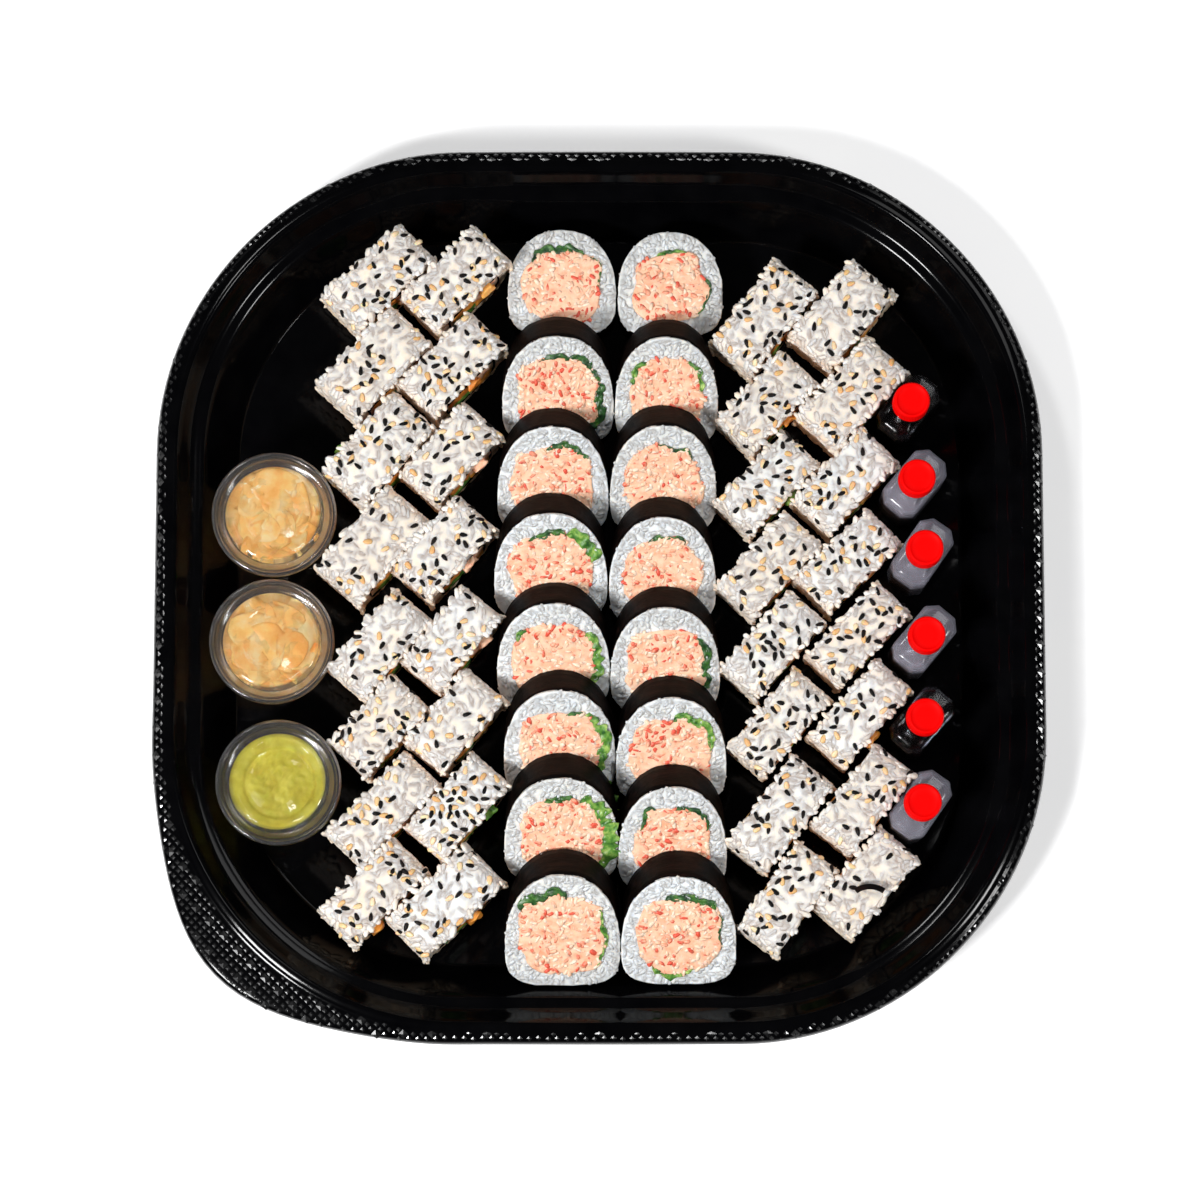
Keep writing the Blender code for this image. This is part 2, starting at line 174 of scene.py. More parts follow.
def sheet(grid, thickness):
    """A thin closed sheet through a grid of points."""
    along = np.gradient(grid, axis=0)
    across = np.gradient(grid, axis=1)
    normals = unit(np.cross(along, across)) * thickness / 2
    return loft(np.concatenate([grid + normals, (grid - normals)[:, ::-1]], axis=1))


def round_angles(count):
    return np.linspace(0, 2 * pi, count, endpoint=False)


def turned(profile, steps):
    """A closed shape turned round a vertical line from pairs of radius and height."""
    angles = round_angles(steps)
    circle = np.column_stack([np.cos(angles), np.sin(angles), np.zeros(steps)])
    return loft([circle * radius + (0.0, 0.0, height) for radius, height in profile])


def ribbed(profile, steps, ribs, is_ribbed, caps=True):
    """A turned shape. Ribs, which go out and up, are on the rings that a test of radius and height picks."""
    angles = round_angles(steps)
    rings = []
    for radius, height in profile:
        teeth = np.where(np.arange(steps) % 2, 1.0, -1.0) * is_ribbed(radius, height)
        own = radius + ribs[0] * teeth
        rings.append(np.column_stack([own * np.cos(angles), own * np.sin(angles), height + ribs[1] * teeth]))
    return loft(rings, caps)


def ovoid(segments=5, stations=3, taper=0.0, bend=0.0, fullness=0.8):
    """A grain along X that is one unit long, wide and deep. The taper narrows its far end."""
    angles = np.linspace(0, pi, stations + 2)
    rims = round_angles(segments)
    points = [(0.5, 0.0, bend)]
    for angle in angles[1:-1]:
        along = cos(angle) / 2
        radius = sin(angle) ** fullness / 2 * (1 - taper * (along + 0.5))
        for rim in rims:
            points.append((along, radius * cos(rim), radius * sin(rim) + bend * 4 * along ** 2))
    points.append((-0.5, 0.0, bend))
    last = len(points) - 1
    triangles = []
    for index in range(segments):
        following = (index + 1) % segments
        triangles.append((0, 1 + index, 1 + following))
        for row in range(stations - 1):
            near, far = 1 + row * segments, 1 + (row + 1) * segments
            triangles.append((near + index, far + index, far + following))
            triangles.append((near + index, far + following, near + following))
        foot = 1 + (stations - 1) * segments
        triangles.append((foot + index, last, foot + following))
    return outward(np.array(points), np.array(triangles))


def stud():
    """A low four-sided stud that is one unit long, wide and high. Its foot is sunk."""
    square = np.array(((0.5, 0.5), (-0.5, 0.5), (-0.5, -0.5), (0.5, -0.5)))
    return loft([np.column_stack([square * share, np.full(4, height)])
                 for share, height in ((1.0, -0.6), (1.0, 0.0), (0.16, 1.0))])


class Heap:
    """Shapes gathered into one mesh."""

    def __init__(self):
        self.points, self.triangles, self.size = [], [], 0

    def add(self, shape, shift=0.0):
        points, triangles = shape
        self.points.append(points + shift)
        self.triangles.append(triangles + self.size)
        self.size += len(points)

    def strew(self, grain, places, directions, normals, sizes):
        """Adds a copy of a grain at each place, along a direction and lying on a normal."""
        points, triangles = grain
        normals = unit(normals)
        sides = unit(np.cross(normals, directions))
        directions = np.cross(sides, normals)
        scaled = points[None, :, :] * sizes[:, None, :]
        basis = np.stack([directions, sides, normals], axis=1)
        copies = np.einsum("kij,kjl->kil", scaled, basis) + places[:, None, :]
        shifts = np.arange(len(places))[:, None, None] * len(points)
        self.add((copies.reshape(-1, 3), (triangles[None] + shifts).reshape(-1, 3)))

    def arrays(self):
        return np.concatenate(self.points), np.concatenate(self.triangles)

    def piece(self, name, finish, slot, nodes=(), smooth=True):
        """Makes the mesh an object that rides in the tray."""
        points, triangles = self.arrays()
        mesh = bpy.data.meshes.new(name)
        mesh.vertices.add(len(points))
        mesh.vertices.foreach_set("co", (points * MM).astype(np.float32).ravel())
        mesh.loops.add(triangles.size)
        mesh.loops.foreach_set("vertex_index", triangles.astype(np.int32).ravel())
        mesh.polygons.add(len(triangles))
        mesh.polygons.foreach_set("loop_start", np.arange(0, triangles.size, 3, dtype=np.int32))
        mesh.polygons.foreach_set("use_smooth", np.full(len(triangles), smooth))
        mesh.update(calc_edges=True)
        mesh.validate()
        mesh.materials.append(MATERIALS[finish])
        thing = bpy.data.objects.new(name, mesh)
        SCENE.collection.objects.link(thing)
        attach(thing, "root")
        if nodes:
            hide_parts(*nodes)


def tint(red, green, blue):
    """A colour of the screen, from 0 to 255, as light."""
    values = []
    for value in (red, green, blue):
        share = value / 255
        values.append(share / 12.92 if share <= 0.04045 else ((share + 0.055) / 1.055) ** 2.4)
    return (*values, 1.0)


def mottled(name, colours, patch, roughness, grain, relief, by_island=0.0, stretch=(1, 1, 1), foot=None, **fixed):
    """A material whose colour runs between several ones in patches, on a fine uneven surface.

    The patch and the grain are sizes in mm, and the relief is a depth in mm. The share by island is
    how far the colour goes by the single grain and not by the patch. Between the two heights of the
    foot, in mm, the colour turns from one darkened by painted shade to its own.
    """
    material = bpy.data.materials.new(name)
    material.use_nodes = True
    nodes, links = material.node_tree.nodes, material.node_tree.links
    shader = nodes["Principled BSDF"]
    place = nodes.new("ShaderNodeTexCoord")
    stretching = nodes.new("ShaderNodeMapping")
    stretching.inputs["Scale"].default_value = stretch
    links.new(place.outputs["Object"], stretching.inputs["Vector"])

    def noise(size, detail):
        node = nodes.new("ShaderNodeTexNoise")
        node.inputs["Scale"].default_value = 1 / (size * MM)
        node.inputs["Detail"].default_value = detail
        links.new(stretching.outputs["Vector"], node.inputs["Vector"])
        return node.outputs["Fac"]

    def ranged(source, **ends):
        node = nodes.new("ShaderNodeMapRange")
        for end, value in ends.items():
            node.inputs[end.replace("_", " ")].default_value = value
        links.new(source, node.inputs["Value"])
        return node.outputs["Result"]

    factor = noise(patch, 3.0)
    if by_island:
        islands = nodes.new("ShaderNodeNewGeometry")
        blend = nodes.new("ShaderNodeMix")
        blend.inputs["Factor"].default_value = by_island
        links.new(factor, blend.inputs["A"])
        links.new(islands.outputs["Random Per Island"], blend.inputs["B"])
        factor = blend.outputs["Result"]
    ramp = nodes.new("ShaderNodeValToRGB")
    low, high = (0.32, 0.68) if by_island < 0.5 else (0.12, 0.88)
    for number, colour in enumerate(colours):
        where = low + (high - low) * number / max(1, len(colours) - 1)
        stop = ramp.color_ramp.elements[number] if number < 2 else ramp.color_ramp.elements.new(where)
        stop.position = where
        stop.color = tint(*colour)
    links.new(factor, ramp.inputs["Fac"])
    colour = ramp.outputs["Color"]
    # Painted shade: the colour is darkened and warmed towards the foot, fully below its lower height and not at
    # all above its upper one
    if foot:
        parts = nodes.new("ShaderNodeSeparateXYZ")
        links.new(place.outputs["Object"], parts.inputs["Vector"])
        share = ranged(parts.outputs["Z"], From_Min=foot[0] * MM, From_Max=foot[1] * MM, To_Min=1.0, To_Max=0.0)
        stain = nodes.new("ShaderNodeMixRGB")
        stain.blend_type = "MULTIPLY"
        stain.inputs["Color2"].default_value = STAIN
        links.new(share, stain.inputs["Fac"])
        links.new(colour, stain.inputs["Color1"])
        colour = stain.outputs["Color"]
    links.new(colour, shader.inputs["Base Color"])

    fine = noise(grain, 2.0)
    links.new(ranged(fine, To_Min=roughness[0], To_Max=roughness[1]), shader.inputs["Roughness"])
    bump = nodes.new("ShaderNodeBump")
    bump.inputs["Distance"].default_value = relief * MM
    links.new(fine, bump.inputs["Height"])
    links.new(bump.outputs["Normal"], shader.inputs["Normal"])
    for socket, value in fixed.items():
        shader.inputs[socket.replace("_", " ")].default_value = value
    return material


# Settings that finishes share
RICE = dict(Subsurface_Weight=0.6, Subsurface_Radius=(1.0, 0.74, 0.56), Subsurface_Scale=0.003,
            Specular_IOR_Level=0.18)
WET = dict(Subsurface_Weight=0.3, Subsurface_Radius=(1.0, 0.6, 0.35), Subsurface_Scale=0.002)
CLEAR = dict(Transmission_Weight=1.0, IOR=1.3)
# Finishes: name, colours of the screen from 0 to 255, size of the patches, roughness, size and depth of the
# grain, and what else is set
FINISHES = {
    "tray": ("tray_gloss", ((2, 2, 3), (5, 5, 6)), 14.0, (0.08, 0.13), 6.0, 0.02,
        dict(Specular_IOR_Level=0.14)),
    "boss": ("tray_bosses", ((3, 3, 4), (7, 7, 8)), 14.0, (0.2, 0.26), 6.0, 0.01,
        dict(Specular_IOR_Level=0.9)),
    # The rice of the thin rolls, with painted shade at its foot
    "rice": ("rice_warm", ((244, 220, 200), (249, 231, 216), (252, 240, 229)), 6.0, (0.4, 0.55), 1.4, 0.04,
        dict(by_island=0.3, foot=STAIN_HEIGHTS, **RICE)),
    "cool_rice": ("rice_cool", ((232, 224, 214), (241, 235, 227), (247, 243, 238)), 6.0, (0.36, 0.5), 1.4,
        0.04, dict(by_island=0.4, **RICE)),
    "nori": ("nori_sheet", ((3, 2, 2), (10, 6, 5), (27, 14, 11)), 5.0, (0.45, 0.65), 1.1, 0.12,
        dict(stretch=(0.4, 1.6, 1.6), Specular_IOR_Level=0.05)),
    "crab": ("crab_salad", ((236, 168, 134), (243, 190, 158), (246, 204, 174)), 3.0, (0.35, 0.5), 1.2, 0.12,
        WET),
    "shreds": ("crab_shreds",
        ((222, 84, 62), (238, 150, 120), (244, 186, 154), (246, 198, 168), (248, 208, 180), (250, 218, 192)),
        4.5, (0.34, 0.5), 0.9, 0.08, dict(by_island=0.4, **WET)),
    "leaf": ("leaf_green", ((16, 44, 20), (40, 82, 34), (70, 118, 44)), 3.5, (0.3, 0.5), 0.9, 0.12,
        dict(Subsurface_Weight=0.1)),
    "bright_leaf": ("leaf_bright", ((34, 80, 28), (92, 142, 52), (168, 196, 96)), 3.0, (0.3, 0.5), 0.9, 0.12,
        dict(Subsurface_Weight=0.15)),
    "salmon": ("salmon_strips", ((212, 116, 44), (236, 156, 64), (244, 192, 108)), 2.5, (0.3, 0.45), 1.0, 0.1,
        dict(by_island=0.5, **WET)),
    "black_seed": ("sesame_black", ((5, 4, 4), (13, 10, 9), (30, 23, 20)), 1.5, (0.36, 0.5), 0.4, 0.03,
        dict(by_island=0.6, Specular_IOR_Level=0.12)),
    "tan_seed": ("sesame_tan", ((218, 166, 104), (230, 190, 138), (242, 214, 176)), 1.5, (0.35, 0.5), 0.5,
        0.03, dict(by_island=0.7, Subsurface_Weight=0.4, Subsurface_Scale=0.0015)),
    # The ginger's colours are lighter than its own and it glows faintly orange: painted light, making up for the
    # light that its clear lid holds back
    "ginger": ("pickled_ginger", ((246, 176, 84), (254, 208, 126), (255, 230, 168)), 6.0, (0.18, 0.32), 1.2,
        0.08, dict(by_island=0.25, stretch=(1, 1, 2), Emission_Color=(1.0, 0.58, 0.26, 1.0),
        Emission_Strength=0.14, **WET)),
    "wasabi": ("wasabi_paste", ((202, 184, 50), (220, 204, 66), (232, 217, 84)), 5.0, (0.35, 0.55), 1.3, 0.1,
        dict(Subsurface_Weight=0.1)),
    "clear": ("clear_film", ((238, 240, 242), (250, 250, 252)), 9.0, (0.03, 0.08), 5.0, 0.01, CLEAR),
    # The lid rims' faint white haze is painted sheen, to make their ribbed band look brighter
    "rim_sheen": ("lid_rim", ((222, 220, 220), (236, 235, 236)), 6.0, (0.08, 0.14), 3.0, 0.01,
        dict(Transmission_Weight=0.97, IOR=1.42)),
    # The grey of this bottle film is partly the plastic's own and partly painted reflection, for the grey
    # shoulders above the sauce; the full bottles' film stays clear
    "bottle": ("bottle_film", ((182, 182, 196), (204, 204, 218)), 6.0, (0.1, 0.18), 3.0, 0.02,
        dict(Transmission_Weight=0.74, IOR=1.4)),
    "full_bottle": ("full_bottle_film", ((176, 178, 184), (196, 198, 204)), 6.0, (0.1, 0.18), 3.0, 0.02,
        CLEAR),
    "soy": ("soy_sauce", ((14, 6, 5), (26, 11, 8)), 5.0, (0.05, 0.1), 4.0, 0.01, dict()),
    "red": ("red_caps", ((228, 1, 1), (234, 2, 2)), 5.0, (0.45, 0.55), 1.5, 0.02,
        dict(Specular_IOR_Level=0.04)),
    "floor": ("floor_paper", ((246, 246, 247), (250, 250, 250)), 60.0, (0.7, 0.85), 8.0, 0.02,
        dict(Emission_Color=(1.0, 1.0, 1.0, 1.0), Emission_Strength=0.3)),
}
MATERIALS = {key: mottled(*finish[:-1], **finish[-1]) for key, finish in FINISHES.items()}


# Tray


def tray_outline(inset, corner_steps=34, side_steps=9):
    """The tray's outline in mm, moved in by an inset: round corners and sides that bow a little."""
    middle = TRAY_HALF - TRAY_CORNER_RADIUS
    radius = TRAY_CORNER_RADIUS - inset
    points = []
    for quarter in range(4):
        start = quarter * pi / 2
        centre = np.array((middle * (1 if quarter in (0, 3) else -1), middle * (1 if quarter < 2 else -1)))
        angles = start + np.linspace(0, pi / 2, corner_steps + 1)
        points.extend(centre + radius * np.column_stack([np.cos(angles), np.sin(angles)]))
        turn = start + pi / 2
        side = np.array((-sin(turn), cos(turn))) * 2 * middle
        last = points[-1]
        points.extend(last + side * step / (side_steps + 1) for step in range(1, side_steps + 1))
    points = np.array(points)
    reach = 1.0 - (points[:, 0] / TRAY_HALF) ** 2
    points[:, 1] += np.sign(points[:, 1]) * TRAY_BOW * reach * (points[:, 1] / TRAY_HALF) ** 2
    return points


def smooth_profile(profile, rounds=2):
    """A profile with its corners cut twice, between its fixed ends."""
    points = np.array(profile, float)
    for _ in range(rounds):
        starts, ends = points[:-1], points[1:]
        cut = np.empty((2 * len(starts), 2))
        cut[0::2] = starts * 0.8 + ends * 0.2
        cut[1::2] = starts * 0.2 + ends * 0.8
        points = np.vstack([points[:1], cut[1:-1], points[-1:]])
    return points


def tray_ring(inset, height):
    """The points of the tray at an inset, with the wider lip at one corner."""
    plan = tray_outline(inset)
    angles = np.arctan2(plan[:, 1], plan[:, 0]) % (2 * pi)
    share = np.interp(inset, LIP_INSETS, LIP_SHARES)
    push = np.exp(-((angles - LIP_DIRECTION) / LIP_SPREAD) ** 2) * share
    plan = plan + unit(plan) * (LIP_REACH * push)[:, None]
    return np.column_stack([plan, height - LIP_DROP * push])


def build_tray():
    """The moulded tray and the small studs on its flange."""
    top = smooth_profile(TRAY_PROFILE)
    slope = unit(np.gradient(top, axis=0))
    under = top + np.column_stack([slope[:, 1], -slope[:, 0]]) * TRAY_WALL
    rings = [tray_ring(*point) for point in top[::-1]] + [tray_ring(*point) for point in under]
    shell = Heap()
    shell.add(loft(rings))
    points, triangles = shell.arrays()
    surface = BVHTree.FromPolygons([Vector(point) for point in points], triangles.tolist())
    draws = np.random.default_rng([SEED, 1])
    places, directions, normals, sizes = [], [], [], []
    reach = int(STUD_RADII[1] / STUD_PITCH)
    outer, inner = (tray_ring(inset, 0.0)[:, :2] for inset in STUD_INSETS)
    for row in range(-reach, reach + 1):
        for column in range(-reach, reach + 1):
            x = (row + column) * STUD_PITCH / sqrt(2) + draws.uniform(-0.25, 0.25)
            y = (row - column) * STUD_PITCH / sqrt(2) + draws.uniform(-0.25, 0.25)
            if hypot(x, y) < STUD_RADII[0] or inside(inner, x, y) or not inside(outer, x, y):
                continue
            hit, normal, _, _ = surface.ray_cast(Vector((x, y, 60)), Vector((0, 0, -1)))
            places.append(hit)
            normals.append(normal)
            directions.append((1, -1, 0))
            sizes.append(STUD_SIZE if row % 3 or column % 3 else LARGE_STUD_SIZE)
    bosses = Heap()
    bosses.strew(stud(), *(np.array(values, float) for values in (places, directions, normals, sizes)))
    shell.piece("tray_shell", "tray", "tray_plastic", ["tray"])
    bosses.piece("tray_bosses", "boss", "tray_plastic", ["tray"], smooth=False)


def inside(outline, x, y):
    """Whether a point lies inside a closed outline."""
    ahead = np.roll(outline, -1, axis=0)
    crossing = (outline[:, 1] > y) != (ahead[:, 1] > y)
    rise = np.where(crossing, ahead[:, 1] - outline[:, 1], 1.0)
    at = outline[:, 0] + (y - outline[:, 1]) / rise * (ahead[:, 0] - outline[:, 0])
    return bool(np.count_nonzero(crossing & (x < at)) % 2)


# Rolls


class Roll:
    """A roll's own measures, in mm: across it, along its axis towards its front face, and up its face."""

    def __init__(self, node, lowest_is=None):
        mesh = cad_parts[node].data
        points = np.array([vertex.co for vertex in mesh.vertices], float) / MM
        areas, sums = {}, {}
        for face in mesh.polygons:
            key = tuple(round(value, 2) for value in face.normal)
            areas[key] = areas.get(key, 0.0) + face.area
            sums[key] = sums.get(key, Vector()) + face.normal * face.area
        widest = max(areas.values())
        faces = [sums[key].normalized() for key, area in areas.items() if area > 0.8 * widest]
        self.axis = np.array(max(faces, key=lambda normal: normal.z * 10 - normal.y))
        upright = abs(self.axis[2]) < 0.1
        self.up = np.array((0.0, 0.0, 1.0)) if upright else unit(np.array((0.0, self.axis[2], -self.axis[1])))
        self.across = np.cross(self.up, self.axis)
        self.basis = np.array((self.across, self.axis, self.up))
        own = points @ self.basis.T
        self.half_axis = (own[:, 1].max() - own[:, 1].min()) / 2
        cap = own[own[:, 1] > own[:, 1].max() - 0.05]
        low, high = cap.min(0) - CUT_ROUNDING, cap.max(0) + CUT_ROUNDING
        self.half_width = (high[0] - low[0]) / 2
        middle = np.array(((low[0] + high[0]) / 2, (own[:, 1].max() + own[:, 1].min()) / 2, 0.0))
        if lowest_is is None:
            self.half_height = (high[2] - low[2]) / 2
            middle[2] = (low[2] + high[2]) / 2
        else:
            middle[2] = low[2] + lowest_is
            self.rise = high[2] - middle[2]
        self.middle = middle @ self.basis

    def out(self, points):
        """Own measures turned into places in the tray."""
        return points @ self.basis + self.middle

    def turn(self, vectors):
        return vectors @ self.basis

    def place(self, shape, shift=(0.0, 0.0, 0.0)):
        """A shape in own measures, moved by a shift and set in the tray."""
        points, triangles = shape
        return self.out(points + shift), triangles


def power(values, exponent):
    """A power that keeps the sign."""
    return np.sign(values) * np.abs(values) ** exponent


class Outline:
    """A closed outline in the plane of a roll's face."""

    def __init__(self, points):
        points = np.vstack([points, points[:1]])
        self.points = points
        self.lengths = np.concatenate([[0.0], np.cumsum(np.hypot(*np.diff(points, axis=0).T))])
        self.length = self.lengths[-1]

    def at(self, distances):
        """Points at distances round the outline, and the outward normals there."""
        def place(values):
            wrapped = np.mod(values, self.length)
            return np.column_stack([np.interp(wrapped, self.lengths, self.points[:, i]) for i in (0, 1)])
        tangents = unit(place(distances + 0.4) - place(distances - 0.4))
        return place(distances), np.column_stack([tangents[:, 1], -tangents[:, 0]])

    def depth(self, points):
        """How deep points lie inside the outline."""
        places, normals = self.at(np.linspace(0, self.length, 160, endpoint=False))
        gaps = points[:, None, :] - places[None]
        nearest = np.argmin((gaps ** 2).sum(-1), axis=1)
        chosen = gaps[np.arange(len(points)), nearest]
        return -np.einsum("ij,ij->i", chosen, normals[nearest])


def box_outline(half_width, half_height, squareness=ROLL_SQUARENESS, foot_squareness=FOOT_SQUARENESS):
    angles = round_angles(240)
    exponent = 2 / np.where(np.sin(angles) >= 0, squareness, foot_squareness)
    return Outline(np.column_stack([half_width * power(np.cos(angles), exponent),
                                    half_height * power(np.sin(angles), exponent)]))


def dome_outline(half_width, rise):
    angles = round_angles(240)
    domed = np.sin(angles) >= 0
    exponent = np.where(domed, 2 / 2.2, 2 / 3.4)
    height = np.where(domed, rise, SHOULDER)
    return Outline(np.column_stack([half_width * power(np.cos(angles), exponent),
                                    height * power(np.sin(angles), exponent)]))


def on_axis(plan, along):
    """Points in the plane of a face, set at places along the axis."""
    return np.column_stack([plan[:, 0], np.broadcast_to(along, len(plan)), plan[:, 1]])


def core_shape(outline, inset, back, front, seed, steps, depth):
    """A solid between two planes across a roll's axis, a little inside an outline and uneven."""
    distances = np.linspace(0, outline.length, steps, endpoint=False)
    places, normals = outline.at(distances)
    rims = places - normals * inset
    edge = places - normals * (inset + 0.7)
    middle = rims.mean(0)
    stages = [(middle + (edge - middle) * share, back) for share in (0.3, 0.62, 0.86)] + [(edge, back)]
    stages += [(rims, back + (front - back) * share) for share in (0.06, 0.3, 0.5, 0.7, 0.94)]
    stages += [(edge, front)] + [(middle + (edge - middle) * share, front) for share in (0.86, 0.62, 0.3)]
    points, triangles = loft([on_axis(*stage) for stage in stages])
    return shaken(points, 5.0, depth, seed), triangles


def random_sizes(draws, size, count, spread=0.12):
    return np.array(size) * draws.uniform(1 - spread, 1 + spread, (count, 3))


def facing(side, draws, tilt, count):
    """Directions out of a cut face, each tilted a little."""
    return np.array((0.0, float(side), 0.0)) + draws.normal(0, tilt, (count, 3))


def spread_round(outline, spacing, draws):
    """Distances round an outline, about a spacing apart."""
    count = round(outline.length / spacing)
    return (np.arange(count) + draws.uniform(0, 1, count)) / count * outline.length


RICE_GRAIN = ovoid(5, 3, bend=0.06)
CRAB_SHRED = ovoid(5, 3, bend=0.08, fullness=0.65)
BLACK_SESAME = ovoid(6, 3, taper=0.45)
TAN_SESAME = ovoid(6, 3, taper=0.4)


def side_grains(roll, outline, draws, heap, pitch=(3.3, 3.5), lowest=-0.2):
    """Rice grains all over a roll's side, except underneath."""
    rows, columns = round(outline.length / pitch[0]), max(2, round(2 * roll.half_axis / pitch[1]))
    row, column = (values.ravel() for values in np.meshgrid(np.arange(rows), np.arange(columns)))
    count = len(row)
    distances = (row + draws.uniform(0, 1, count)) / rows * outline.length
    along = ((column + draws.uniform(0, 1, count)) / columns * 2 - 1) * (roll.half_axis - 0.4)
    place_grains(roll, outline, draws, heap, distances, along, lowest)


def place_grains(roll, outline, draws, heap, distances, along, lowest, tilt=0.05, proud=0.0):
    """Rice grains at distances round the outline and places along the axis."""
    places, normals = outline.at(distances)
    kept = normals[:, 1] > lowest
    places, normals, along = places[kept], normals[kept], along[kept]
    count = len(places)
    sizes = random_sizes(draws, GRAIN, count)
    sink = sizes[:, 2] / 2 - draws.uniform(-0.2, 0.12, count) - proud
    places = places - normals * sink[:, None]
    spots = on_axis(places, along)
    outwards = on_axis(normals, 0.0)
    round_it = np.column_stack([normals[:, 1], np.zeros(count), -normals[:, 0]])
    angles = draws.uniform(0, pi, count)
    directions = np.cos(angles)[:, None] * round_it + np.sin(angles)[:, None] * np.array((0.0, 1.0, 0.0))
    outwards = outwards + draws.normal(0, tilt, (count, 3))
    heap.strew(RICE_GRAIN, roll.out(spots), roll.turn(directions), roll.turn(outwards), sizes)


def face_grains(roll, plan, side, draws, heap, proud=0.0, tilt=0.05, size=GRAIN):
    """Rice grains lying on a cut face, at places in its plane."""
    count = len(plan)
    sizes = random_sizes(draws, size, count)
    along = side * (roll.half_axis - sizes[:, 2] / 2 + draws.uniform(-0.2, 0.1, count) + proud)
    spots = on_axis(plan, along)
    angles = draws.uniform(0, pi, count)
    directions = np.column_stack([np.cos(angles), np.zeros(count), np.sin(angles)])
    outwards = facing(side, draws, tilt, count)
    heap.strew(RICE_GRAIN, roll.out(spots), roll.turn(directions), roll.turn(outwards), sizes)


def ring_places(outline, inner_depth, pitch, draws, outer_depth=1.9):
    """Places spread evenly over the ring between two depths inside an outline."""
    low, high = outline.points.min(0), outline.points.max(0)
    columns, rows = (np.ceil((high - low) / pitch)).astype(int)
    column, row = (values.ravel() for values in np.meshgrid(np.arange(columns), np.arange(rows)))
    places = low + (np.column_stack([column, row]) + draws.uniform(0, 1, (len(column), 2))) * pitch
    depths = outline.depth(places)
    return places[(depths > outer_depth) & (depths < inner_depth)]


def band_shape(outline, inset, thickness, back, front, seed, steps=44, ragged=0.0):
    """A thin closed band that runs round inside an outline, like the wrap of a roll."""
    distances = np.linspace(0, outline.length, steps, endpoint=False)
    places, normals = outline.at(distances)
    outer, inner = places - normals * inset, places - normals * (inset + thickness)
    uneven = waves(outer, 4.0, seed) * ragged
    stages = [(outer, back + uneven)]
    stages += [(outer, back + (front - back) * share) for share in (0.2, 0.5, 0.8)]
    stages += [(outer, front + uneven), (inner, front + uneven), (inner, back + uneven)]
    return loft([on_axis(*stage) for stage in stages], caps=False)


def roll_surface(heap, first):
    """A search tree of what a heap holds from a shape on."""
    points = np.concatenate(heap.points[first:])
    offset = sum(len(part) for part in heap.points[:first])
    triangles = np.concatenate(heap.triangles[first:]) - offset
    return BVHTree.FromPolygons(points.tolist(), triangles.tolist())


def strew_seeds(roll, surface, draws, heap, grain, size, count, clustering):
    """Sesame seeds on top of a roll, lying on the rice."""
    tries = draws.uniform(-1, 1, (count * 6, 2))
    near = waves(np.column_stack([tries[:, 0] * 21, tries[:, 1] * 10, np.full(len(tries), roll.middle[1])]),
                 13.0, 60 + int(size[0] * 10))
    chance = np.exp(near * clustering)
    order = np.argsort(-np.log(draws.uniform(1e-9, 1, len(tries))) / chance)
    chosen = []
    for index in order:
        spot = np.array((tries[index, 0] * (roll.half_width - 0.6), tries[index, 1] * (roll.half_axis - 0.8)))
        if all(np.hypot(*(spot - other)) > size[1] * 1.2 for other in chosen):
            chosen.append(spot)
        if len(chosen) == count:
            break
    places, normals = [], []
    for across, along in chosen:
        start = roll.out(np.array((across, along, 40.0)))
        hit, _, _, _ = surface.ray_cast(Vector(start), Vector((0, 0, -1)))
        if hit is None:
            continue
        bulge = (across / roll.half_width) ** 5
        places.append(np.array(hit) + (0, 0, size[2] * 0.3))
        normals.append(roll.turn(np.array((bulge, 0.0, 1.0))))
    count = len(places)
    angles = draws.uniform(0, 2 * pi, count)
    directions = np.column_stack([np.cos(angles), np.sin(angles), np.zeros(count)])
    normals = np.array(normals) + draws.normal(0, 0.12, (count, 3))
    heap.strew(grain, np.array(places), directions, normals, random_sizes(draws, size, count, 0.1))


# Cut ends of the fillings in a rice roll: middle across and up, half sizes, and the kind
ROLL_FILLINGS = (
    (-6.0, 4.4, 6.6, 5.0, "salmon"), (6.2, 4.6, 6.6, 4.8, "crab"),
    (-5.6, -4.4, 6.3, 4.5, "leaf"), (5.9, -4.3, 6.2, 4.6, "salmon"),
)


